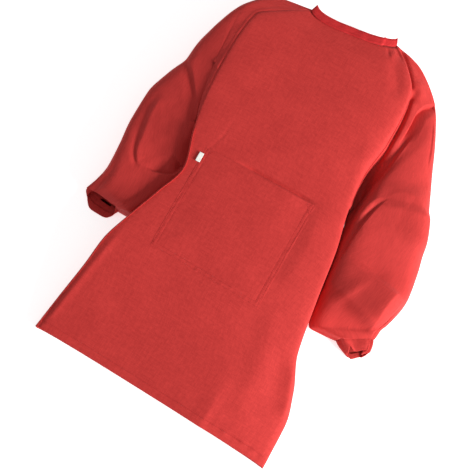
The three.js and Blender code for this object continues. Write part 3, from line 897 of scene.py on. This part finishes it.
def seam_section(side, turn):
    """Where the sleeve's first ring lies: over the raglan seam, then back along the floor."""
    upper = turn <= np.pi
    under = np.maximum(0, turn / np.pi - 1)
    back_share = 1 - np.maximum(0, under - SHOULDER_TURN) / (1 - SHOULDER_TURN)
    share = np.where(upper, turn / np.pi, back_share)
    row = body_at(mix(UNDERARM, NECK, share))
    drop = np.where(upper, 1, 2 - smooth(under, 0, SHOULDER_TURN) - smooth(share, 0, 0.15))
    if side > 0:
        return SimpleNamespace(x=row.right_x, y=row.right_y, z=row.right_edge * drop, share=share)
    return SimpleNamespace(x=row.left_x, y=row.left_y, z=row.left_edge * drop, share=share)


# how far the sleeve's top lies below the front's edge at the seam: 1 is the left sleeve, -1 the right
SEAM_DROP = {1: 4.5, -1: 0.3}


def tube_skin(row_at, side, t, turn, pleats):
    """A sleeve or cuff without folds. turn goes from the inner side over the top and underneath."""
    row = row_at(t)
    seam = seam_section(side, turn)
    pleat = 1 + row.gather * pleats(turn)
    inner = smooth(np.cos(turn), -0.2, 0.4)
    across = -signed_power(np.cos(turn), mix(row.outer_square, SLEEVE_SQUARE.inner, inner)) * pleat
    share = mix(0.5 + 0.5 * across, seam.share, row.seam)
    first = row_at(0)
    straight_x = mix(first.inner_x, first.outer_x, seam.share)
    straight_y = mix(first.inner_y, first.outer_y, seam.share)
    x = mix(row.inner_x, row.outer_x, share) + row.seam * (seam.x + SEAM_GAP * side - straight_x)
    y = mix(row.inner_y, row.outer_y, share) + row.seam * (seam.y - straight_y)
    up = np.sin(turn)
    outer_top = SLEEVE_SQUARE.top * row.outer_square / SLEEVE_SQUARE.outer
    top = mix(outer_top, SLEEVE_SQUARE.inner_top, inner)
    power = np.where(up > 0, top, SLEEVE_SQUARE.under)
    swell = signed_power(up, power) * np.where(up > 0, pleat, 1)
    drop = SEAM_DROP[side] * smooth(1 - seam.share, 0, 0.12)
    lean = 1 - row.lean * np.clip(0.5 + 0.5 * across, 0, 1)
    z = mix(row.height * lean / 2 * (1 + swell), seam.z - drop * (up > 0), row.seam)
    return np.stack([x, y, np.maximum(0, z)], axis=-1), np.clip(swell, 0, 1) * (1 - row.seam)


def ring_grid(skin, levels, top, under):
    """Rings of a tube, with so many even steps over the top half and so many underneath."""
    halves = []
    for start, count in ((0, top), (np.pi, under)):
        turns = np.linspace(start, start + np.pi, 700)
        dense = skin(levels[:, None], turns[None, :])[0]
        halves.append(even_rows(dense, count + 1)[:, :-1])
    return np.concatenate(halves, axis=1)


def sleeve_grid(row_at, side, folds, laps, pressed, pleats, seed):
    """One sleeve's outer skin with its folds, and with a seam allowance that runs in under the body."""
    def skin(t, turn):
        return tube_skin(row_at, side, t, turn, pleats)

    levels = even_levels(
        lambda t: skin(t, np.full_like(t, np.pi / 2))[0], row_at.last, [(None, SLEEVE_SPACING)]
    )
    points = ring_grid(skin, levels, SLEEVE_TOP, SLEEVE_UNDER)
    turned = points if side < 0 else points[:, ::-1]
    normals = skin_normals(turned, ring=True)
    x, y = turned[..., 0], turned[..., 1]
    lift = fold_height(x, y, folds) + lap_height(x, y, laps)
    lift = loosen(lift, x, y, [(0.4, 90, seed), (0.15, 34, seed + 1)])
    free = smooth(np.linalg.norm(turned - turned[:1], axis=2), 0.4, 3.0)
    lift = lift * np.clip(normals[..., 2], 0, 1) * free
    turned = turned + normals * lift[..., None]
    turned[..., 2] *= 1 - fold_height(x, y, pressed) * free
    turned[..., 2] = np.maximum(turned[..., 2], FLOOR_GAP)
    inward = np.array([-side, SEAM_TUCK.neckward, 0.0])
    tucks = []
    for share in np.linspace(1, 0, SEAM_TUCK.rows + 1)[:-1]:
        row = turned[0] + inward * SEAM_TUCK.inward * share
        row[:, 2] = np.maximum(SEAM_TUCK.floor, row[:, 2] - SEAM_TUCK.down * share**0.5)
        tucks.append(row)
    return np.concatenate([np.array(tucks), turned])


def gathers(count, wander):
    """Uneven gathers round a wrist, as a function of the angle round it."""
    def pleats(turn):
        angle = count * turn + wander * np.sin(2 * turn + 0.7) + 0.6 * np.sin(5 * turn)
        return 0.75 * np.cos(angle) + 0.35 * np.cos(1.7 * angle + 1.1)

    return pleats


LEFT_GATHERS = gathers(count=6, wander=1.2)
RIGHT_GATHERS = gathers(count=8, wander=0.8)
sleeve_points = {
    "left": sleeve_grid(left_sleeve_at, 1, LEFT_FOLDS, LEFT_LAPS, LEFT_PRESSED, LEFT_GATHERS, seed=11),
    "right": sleeve_grid(right_sleeve_at, -1, RIGHT_FOLDS, RIGHT_LAPS, [], RIGHT_GATHERS, seed=21),
}
sleeves = {
    hand: dress(
        sew(f"sleeve_{hand}_cloth", points, RED_CLOTH, ring=True), "cloth_red", f"sleeve_{hand}"
    )
    for hand, points in sleeve_points.items()
}
print("sleeves", {hand: (p.shape, round(area_of(p), 4)) for hand, p in sleeve_points.items()})

# %% [markdown]
# ## Cuffs
# The wrists are gathered, so the cloth stands in uneven little pleats, and the mouth is a narrow
# turned hem. On the right wrist the upper edge sits well back and the mouth shows. The left mouth is
# narrower, with deeper pleats. Regular pleats would look like a bottle cap, so their angle wanders.

# %% Cuffs
CUFF_RING = 88
CUFF_ROWS = 22
CUFF_TURN = SimpleNamespace(radius=0.7, depth=6.0)


def cuff_grid(row_at, side, set_back, flare, pleats):
    """A gathered cuff. set_back is how far the mouth's sides and its upper edge sit behind its lip."""
    def skin(t, turn):
        points, swell = tube_skin(row_at, side, t, turn, pleats)
        reach = np.broadcast_to(t / row_at.last, swell.shape)
        points = points.copy()
        sides, upper = set_back
        back = sides * np.where(np.sin(turn) > 0, 1, np.abs(np.cos(turn)) ** 2)
        back = back + (upper - sides) * np.clip(np.sin(turn), 0, 1)
        points[..., 1] += reach * (back + flare * pleats(turn))
        return points, swell

    levels = np.linspace(0, row_at.last, CUFF_ROWS)
    points = ring_grid(skin, levels, CUFF_RING, CUFF_RING)
    turned = points if side < 0 else points[:, ::-1]
    turned[..., 2] = np.maximum(turned[..., 2], FLOOR_GAP)
    return last_row(turn_under, turned, radius=CUFF_TURN.radius, depth=CUFF_TURN.depth, ring=True)


cuff_points = {
    "left": cuff_grid(left_cuff_at, 1, set_back=(3.0, 9.0), flare=3.0, pleats=LEFT_GATHERS),
    "right": cuff_grid(right_cuff_at, -1, set_back=(11.0, 23.0), flare=0.4, pleats=RIGHT_GATHERS),
}
cuffs = {
    hand: dress(sew(f"cuff_{hand}_cloth", points, RED_CLOTH, ring=True), "cloth_red", f"cuff_{hand}")
    for hand, points in cuff_points.items()
}
print("cuffs", {hand: round(area_of(p), 5) for hand, p in cuff_points.items()})

# %% [markdown]
# ## Neck band
# The neck edge is bound with a strip folded over it. It is a flat tube of cloth, so its section is a
# rounded oblong swept along the neck line, all the way round and lapped at the centre back.

# %% Neck band
BAND = SimpleNamespace(
    width=11.0, over=1.6, thick=2.2, lap=0.3, rise=0.5, back_square=0.8, square=0.6, steepest=0.6,
    flat_square=0.55, round_square=0.8
)
BAND_KINK = SimpleNamespace(x=49.0, step=1.6, shift=1.2, soft=0.6)
# the kink and the stitches keep to the part of the band above this height
FRONT_OF_NECK = 20
BAND_LOOSE = [(0.3, 16, 31)]
BAND_ALONG = 260
BAND_RING = 18


def band_line(turn):
    """The neck seam all round, from the centre back up the wearer's right side and over the front."""
    side = -np.cos(turn)
    up = np.sin(turn)
    share = 0.5 + 0.5 * signed_power(side, BAND.back_square)
    x, y = across_row(neck_row, share)
    end = np.where(side < 0, neck_edge[0, 2], neck_edge[-1, 2])
    lap = smooth(turn, 1.5 * np.pi - 3 * BAND.lap, 1.5 * np.pi - BAND.lap)
    back = np.stack([x, y, end * (1 - np.abs(up) ** 0.4) + lap * (BAND.thick + 0.4)], axis=-1)
    columns = np.clip(turn / np.pi, 0, 1) * (len(neck_edge) - 1)
    front_edge = at_lengths(columns, np.arange(len(neck_edge)), neck_edge)
    return np.where((up > 0)[:, None], front_edge, back)


def neck_band():
    """The band's skin: a rounded oblong section carried along the neck line."""
    turns = np.linspace(-0.5 * np.pi - BAND.lap, 1.5 * np.pi + BAND.lap, 4000)
    line = even_rows(band_line(turns)[None], BAND_ALONG)[0]
    angles = np.linspace(0, 2 * np.pi, BAND_RING, endpoint=False)
    half = (BAND.width + BAND.over) / 2
    flat = signed_power(np.cos(angles), BAND.flat_square) * half + (BAND.width - BAND.over) / 2
    thick = signed_power(np.sin(angles), BAND.round_square) * BAND.thick / 2
    slope = np.gradient(neck_edge[:, 1]) / np.gradient(neck_edge[:, 0])
    slope = np.clip(slope, -BAND.steepest, BAND.steepest)
    lean = np.interp(line[:, 0], neck_edge[:, 0], slope)
    across = unit(np.stack([-BAND.square * lean, np.ones_like(lean)], axis=1))
    points = np.repeat(line[:, None, :], BAND_RING, axis=1)
    beyond = BAND_KINK.shift * smooth(line[:, 0], BAND_KINK.x - 1, BAND_KINK.x + 1)
    points[..., :2] += across[:, None, :] * (flat + beyond[:, None])[..., None]
    points[..., 2] += thick - BAND.thick / 2 + BAND.rise
    points[..., 2] = loosen(points[..., 2], points[..., 0], points[..., 1], BAND_LOOSE)
    kink = smooth(BAND_KINK.x - points[..., 0], -BAND_KINK.soft, BAND_KINK.soft)
    points[..., 2] += BAND_KINK.step * kink * (points[..., 2] > FRONT_OF_NECK)
    points[..., 2] = np.maximum(points[..., 2], FLOOR_GAP)
    return points


band_points = neck_band()
band = dress(sew("neck_band_cloth", band_points, RED_BAND, thick=0, ring=True), "band_red", "neck_band")
print("band", band_points.shape)

# %% [markdown]
# ## Pocket
# The pocket is a square patch with its edges turned in, sewn to the front along three sides with a
# double row of stitches. The mouth is left free and gapes a little. Its grid lines are set closer at
# the edges, so that the shallow groove under each row of stitches is real shape.

# %% Pocket
POCKET = SimpleNamespace(
    top=((-86, 84), (73.5, 78)), bottom=((-88, -62), (69, -73)), lift=0.1, gape=1.2,
    groove=0.12, groove_width=0.7, swell=0.9, pucker=0.22, pucker_size=11, pucker_reach=7, thick=0.6,
)
POCKET_HEM = SimpleNamespace(radius=0.9, depth=11.0)
STITCH_ROWS = (2.2, 6.6)
EDGE_STEPS = [0, 0.35, 0.8, 1.4, 1.8, 2.2, 2.6, 3.2, 4.2, 5.4, 6.2, 6.6, 7.0, 7.8]
POCKET_SPACING = 1.5


def edge_shares(length):
    """Shares of a length that are close together near both ends."""
    near = np.array(EDGE_STEPS) / length
    count = round((length - 2 * EDGE_STEPS[-1]) / POCKET_SPACING)
    middle = np.linspace(near[-1], 1 - near[-1], count + 1)[1:-1]
    return np.concatenate([near, middle, 1 - near[::-1]])


def pocket_plan(up, across):
    """Place in plan on the pocket, in shares of its height and width."""
    corners = [np.array(corner, float) for corner in (*POCKET.bottom, *POCKET.top)]
    low = mix(corners[0], corners[1], across[..., None])
    high = mix(corners[2], corners[3], across[..., None])
    return mix(low, high, up[..., None])


POCKET_WIDTH = POCKET.top[1][0] - POCKET.top[0][0]
POCKET_HEIGHT = POCKET.top[0][1] - POCKET.bottom[0][1]


def pocket_skin(up, across):
    """The pocket's outer side over the front."""
    place = pocket_plan(up, across)
    x, y = place[..., 0], place[..., 1]
    from_side = np.minimum(across, 1 - across) * POCKET_WIDTH
    from_sewn = np.minimum(from_side, up * POCKET_HEIGHT)
    turned_edge = 1 + smooth(from_sewn, 0, 3)
    open_at = mix(0.35, 1.0, smooth(across, 0.25, 0.65)) * smooth(across, 0, 0.12)
    open_at = open_at * smooth(1 - across, 0, 0.3)
    gape = POCKET.gape * open_at * smooth(up, 0.55, 1.0) ** 1.6
    swell = POCKET.swell * smooth(from_sewn, 4, 40)
    groove = sum(np.exp(-(((from_sewn - row) / POCKET.groove_width) ** 2)) for row in STITCH_ROWS)
    pucker = POCKET.pucker * uneven(x, y, POCKET.pucker_size, 41)
    pucker = pucker * np.exp(-from_sewn / POCKET.pucker_reach) * smooth(from_sewn, 0, 2)
    z = front_height(x, y) + POCKET.lift * turned_edge + gape + swell - POCKET.groove * groove + pucker
    return np.stack([x, y, z], axis=-1)


up_shares, across_shares = np.meshgrid(
    edge_shares(POCKET_HEIGHT), edge_shares(POCKET_WIDTH), indexing="ij"
)
pocket_points = pocket_skin(up_shares, across_shares)
pocket_points = last_row(turn_under, pocket_points, radius=POCKET_HEM.radius, depth=POCKET_HEM.depth)
pocket = dress(sew("pocket_cloth", pocket_points, RED_CLOTH, thick=POCKET.thick), "cloth_red", "pocket")
print("pocket", pocket_points.shape, "area", round(area_of(pocket_points), 4), "m2")

# %% [markdown]
# ## Stitches
# A sewing machine leaves a row of short, slightly sunken threads. Each stitch is a small rounded
# bead of thread. They are made as one joined mesh per group of rows, because hundreds of objects
# would slow everything down.

# %% Stitch helper
STITCH = SimpleNamespace(pitch=2.9, length=2.2, radius=0.22, sides=6, look=0.4)
THREAD_LIFT = SimpleNamespace(pocket=0.02, hem=0.12, band=0.05)
BEAD_RINGS = [(-0.5, 0.25), (-0.42, 0.8), (-0.2, 1.0), (0.2, 1.0), (0.42, 0.8), (0.5, 0.25)]


def stitch_beads(line, normals):
    """Vertices and faces of one bead at every stitch along a line on the cloth."""
    lengths = line_lengths(line)
    count = int(lengths[-1] / STITCH.pitch)
    places = (np.arange(count) + 0.5) * lengths[-1] / max(count, 1)
    centres = at_lengths(places, lengths, line)
    ahead = at_lengths(places + STITCH.look, lengths, line)
    behind = at_lengths(places - STITCH.look, lengths, line)
    up = unit(at_lengths(places, lengths, normals))
    along = unit(ahead - behind)
    beside = unit(np.cross(up, along))
    angles = np.arange(STITCH.sides) * 2 * np.pi / STITCH.sides
    rings = []
    for place, size in BEAD_RINGS:
        ring = centres[:, None] + along[:, None] * place * STITCH.length
        ring = ring + beside[:, None] * (np.cos(angles) * size * STITCH.radius)[None, :, None]
        ring = ring + up[:, None] * (np.sin(angles) * size * STITCH.radius)[None, :, None]
        rings.append(ring)
    vertices = np.stack(rings, axis=1)
    faces = []
    sides = STITCH.sides
    last = (len(BEAD_RINGS) - 1) * sides
    for k in range(len(BEAD_RINGS) - 1):
        for s in range(sides):
            n = (s + 1) % sides
            faces.append((k * sides + s, k * sides + n, (k + 1) * sides + n, (k + 1) * sides + s))
    caps = [tuple(range(sides))[::-1], tuple(last + s for s in range(sides))]
    return vertices.reshape(count, -1, 3), faces, caps


def stitch_piece(name, rows, slot):
    """One mesh with the stitches of several rows, each a (line, normals) pair."""
    mesh = bpy.data.meshes.new(name)
    vertices = []
    faces = []
    for line, normals in rows:
        beads, sides, caps = stitch_beads(line, normals)
        for bead in beads:
            base = len(vertices)
            vertices.extend(to_frame(bead).tolist())
            faces.extend(tuple(base + v for v in face) for face in sides + caps)
    mesh.from_pydata(vertices, [], faces)
    layer = mesh.uv_layers.new(name=CLOTH_MAP)
    corners = np.array([vertices[loop.vertex_index][:2] for loop in mesh.loops], np.float32)
    layer.uv.foreach_set("vector", corners.ravel())
    mesh.shade_smooth()
    # the thread material is darker than the cloth: painted shade of the sunken stitches
    mesh.materials.append(THREAD_WITH_PAINTED_SHADE)
    piece = bpy.data.objects.new(name, mesh)
    bpy.context.collection.objects.link(piece)
    print(name, len(faces), "faces")
    return dress(piece, slot)


# %% Pocket stitches
ROW_TOP = 0.985
ROW_POINTS = 120
TACK = SimpleNamespace(across=(2.2, 11.0, 2.2), down=(1.8, 1.8, 13.0), points=60)


def pocket_line(up, across):
    line = pocket_skin(up, across)
    normals = np.zeros_like(line)
    normals[:, 2] = 1
    return line + normals * THREAD_LIFT.pocket, normals


def pocket_row(inset):
    """One row of stitches down the left side, along the bottom and up the right side."""
    side = inset / POCKET_WIDTH
    low = inset / POCKET_HEIGHT
    down = np.linspace(ROW_TOP, low, ROW_POINTS)
    wide = np.linspace(side, 1 - side, ROW_POINTS)
    up = np.concatenate([down, np.full(ROW_POINTS, low), down[::-1]])
    across = np.concatenate([np.full(ROW_POINTS, side), wide, np.full(ROW_POINTS, 1 - side)])
    return pocket_line(up, across)


def corner_tack(left):
    """A small sewn triangle that strengthens one end of the pocket's mouth."""
    corners = [0, 1, 2]
    steps = np.linspace(0, 2, TACK.points)
    edge = np.array(TACK.across) / POCKET_WIDTH
    across = np.interp(steps, corners, edge if left else 1 - edge)
    up = np.interp(steps, corners, 1 - np.array(TACK.down) / POCKET_HEIGHT)
    return pocket_line(up, across)


pocket_rows = [pocket_row(inset) for inset in STITCH_ROWS] + [corner_tack(True), corner_tack(False)]
pocket_stitches = stitch_piece("pocket_stitches", pocket_rows, "cloth_red")

# %% Hem stitches
hem_extra = len(front_points) - len(front_levels)
front_outer = front_points[hem_extra:]
front_outer_normals = skin_normals(front_outer)
row_lengths = np.cumsum(np.linalg.norm(np.diff(front_outer, axis=0), axis=2).mean(axis=1))
hem_row = int(np.searchsorted(row_lengths, HEM_STITCH.inset)) + 1
hem_columns = slice(len(SIDE_FLAP) + 3, -len(SIDE_FLAP) - 3)
hem_line = front_outer[hem_row, hem_columns]
hem_normals = front_outer_normals[hem_row, hem_columns]
hem_rows = [(hem_line + THREAD_LIFT.hem * hem_normals, hem_normals)]
hem_stitches = stitch_piece("hem_stitches", hem_rows, "cloth_red")

# %% Band stitches
BAND_STITCH_ROWS = (0.18, 0.82)
band_front = band_points[:, 0, 2] > FRONT_OF_NECK
band_rows = []
for place in BAND_STITCH_ROWS:
    seam = band_points[band_front].mean(axis=1)
    seam[:, 1] += (place - 0.5) * BAND.width
    seam[:, 2] = band_points[band_front][..., 2].max(axis=1) + THREAD_LIFT.band
    upward = np.zeros_like(seam)
    upward[:, 2] = 1
    band_rows.append((seam, upward))
band_stitches = stitch_piece("band_stitches", band_rows, "band_red")

# %% [markdown]
# ## Tag and closing tab
# A short white tape is folded in two and caught in the pocket's side seam. It carries no words. The
# closing tab between the back panels is out of sight, so it is one plain strip of soft tape.

# %% Tag
TAG = SimpleNamespace(
    width=4.6, length=13.0, from_top=9.0, thick=0.35, caught=2.0, beyond=1.5,
    lift=1.0, curl=0.8, upper=0.45, lower=-0.15,
)
tag_edge = POCKET.top[0][0] + TAG.caught
tag_top = POCKET.top[0][1] - TAG.from_top
tag_path = np.concatenate([np.linspace(0, 1, 12), np.linspace(1, 0, 12)])
tag_layer = np.concatenate([np.full(12, 0.0), np.full(12, 1.0)])
tag_reach = tag_edge - (TAG.width + TAG.beyond) * tag_path
tag_along = tag_top - TAG.length * np.linspace(0, 1, 14)
tag_x, tag_y = np.meshgrid(tag_reach, tag_along, indexing="ij")
tag_curl = TAG.curl * tag_path[:, None] ** 2 * np.ones_like(tag_y)
tag_round = np.sqrt(np.clip(1 - tag_path**6, 0, 1))
tag_fold = (tag_round * np.where(tag_layer > 0, TAG.upper, TAG.lower))[:, None]
tag_z = front_height(tag_x, tag_y) + TAG.lift + tag_curl + tag_fold
tag_points = np.stack([tag_x, tag_y, tag_z], axis=-1)
tag = dress(sew("label_tag_tape", tag_points, WHITE_TAPE, thick=TAG.thick), "tag_white", "label_tag")
print("tag", tag_points.shape)

# %% Closing tab
TAB = SimpleNamespace(width=24.0, length=40.0, thick=1.1, floor=3.1, edge_drop=0.25, edge_width=1.2)
tab_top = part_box("back_closure")[1][1] / MM - SHIFT[1]
tab_across, tab_along = np.meshgrid(np.linspace(-0.5, 0.5, 25), np.linspace(0, 1, 41))
tab_edge = np.minimum(0.5 - np.abs(tab_across), 0.5 - np.abs(tab_along - 0.5)) * TAB.width
tab_z = TAB.floor - TAB.edge_drop * np.exp(-tab_edge / TAB.edge_width)
tab_y = tab_top - TAB.length + tab_along * TAB.length
tab_points = np.stack([neck_x + tab_across * TAB.width, tab_y, tab_z], axis=-1)
tab = dress(sew("back_closure_tape", tab_points, RED_TAPE, thick=TAB.thick), "tape_red", "back_closure")
print("closing tab", tab_points.shape)

# %% [markdown]
# ## Sheets
# The front, each back half and each sleeve are kept here with the size that they were cut to. These
# cuts aren't rectangles, so each gets an area from its own measures: the front from its widths at hem,
# chest and neck, half of it and an overlap for each back half, and a raglan head with a tapering tube
# for each sleeve.

CUT_AREA = SimpleNamespace(front=0.178, back=0.092, sleeve=0.090)

# %% [markdown]
# ## Floor and light
# A product picture like this is lit by one big soft light, here low at the picture's lower right, and
# a white room that fills the shadows. So low a light brings out every fold by its slope. The floor is
# pale and glows a little, so it lifts the undersides too. It is wide enough to fill low views.

# %% Floor
floor_mesh = bpy.data.meshes.new("floor")
FLOOR_HALF = 10.0
FLOOR_CORNERS = ((-1, -1), (1, -1), (1, 1), (-1, 1))
corners = [(x * FLOOR_HALF, y * FLOOR_HALF, 0) for x, y in FLOOR_CORNERS]
floor_mesh.from_pydata(corners, [], [(0, 1, 2, 3)])
floor_material, floor_shader = new_material("pale_floor")
floor_shader.inputs["Base Color"].default_value = (0.92, 0.92, 0.92, 1)
floor_shader.inputs["Roughness"].default_value = 0.9
floor_shader.inputs["Emission Color"].default_value = (1, 1, 1, 1)
floor_shader.inputs["Emission Strength"].default_value = 0.62
floor_mesh.materials.append(floor_material)
floor = bpy.data.objects.new("floor", floor_mesh)
bpy.context.collection.objects.link(floor)
print("floor", 2 * FLOOR_HALF, "m wide")

# %% Lights
bpy.context.scene.view_settings.view_transform = "Standard"
GROUND_UP = Vector((-VIEW_RIGHT.y, VIEW_RIGHT.x, 0))


def soft_light(name, right, up, height, size, power):
    """A square soft light, placed from the smock along the picture's right and up, aimed at it."""
    data = bpy.data.lights.new(name, "AREA")
    data.size = size
    data.energy = power
    lamp = bpy.data.objects.new(name, data)
    lamp.location = TARGET + VIEW_RIGHT * right + GROUND_UP * up + Vector((0, 0, height))
    lamp.rotation_euler = (lamp.location - TARGET).to_track_quat("Z", "Y").to_euler()
    bpy.context.collection.objects.link(lamp)
    return lamp


window = soft_light("window_light", right=3.75, up=-2.5, height=1.7, size=1.5, power=436.0)
world = bpy.data.worlds.new("white_room")
world.use_nodes = True
world.node_tree.nodes["Background"].inputs["Color"].default_value = (1, 1, 1, 1)
world.node_tree.nodes["Background"].inputs["Strength"].default_value = 0.43
bpy.context.scene.world = world
print("light at", [round(v, 2) for v in window.location], "and a", world.name)
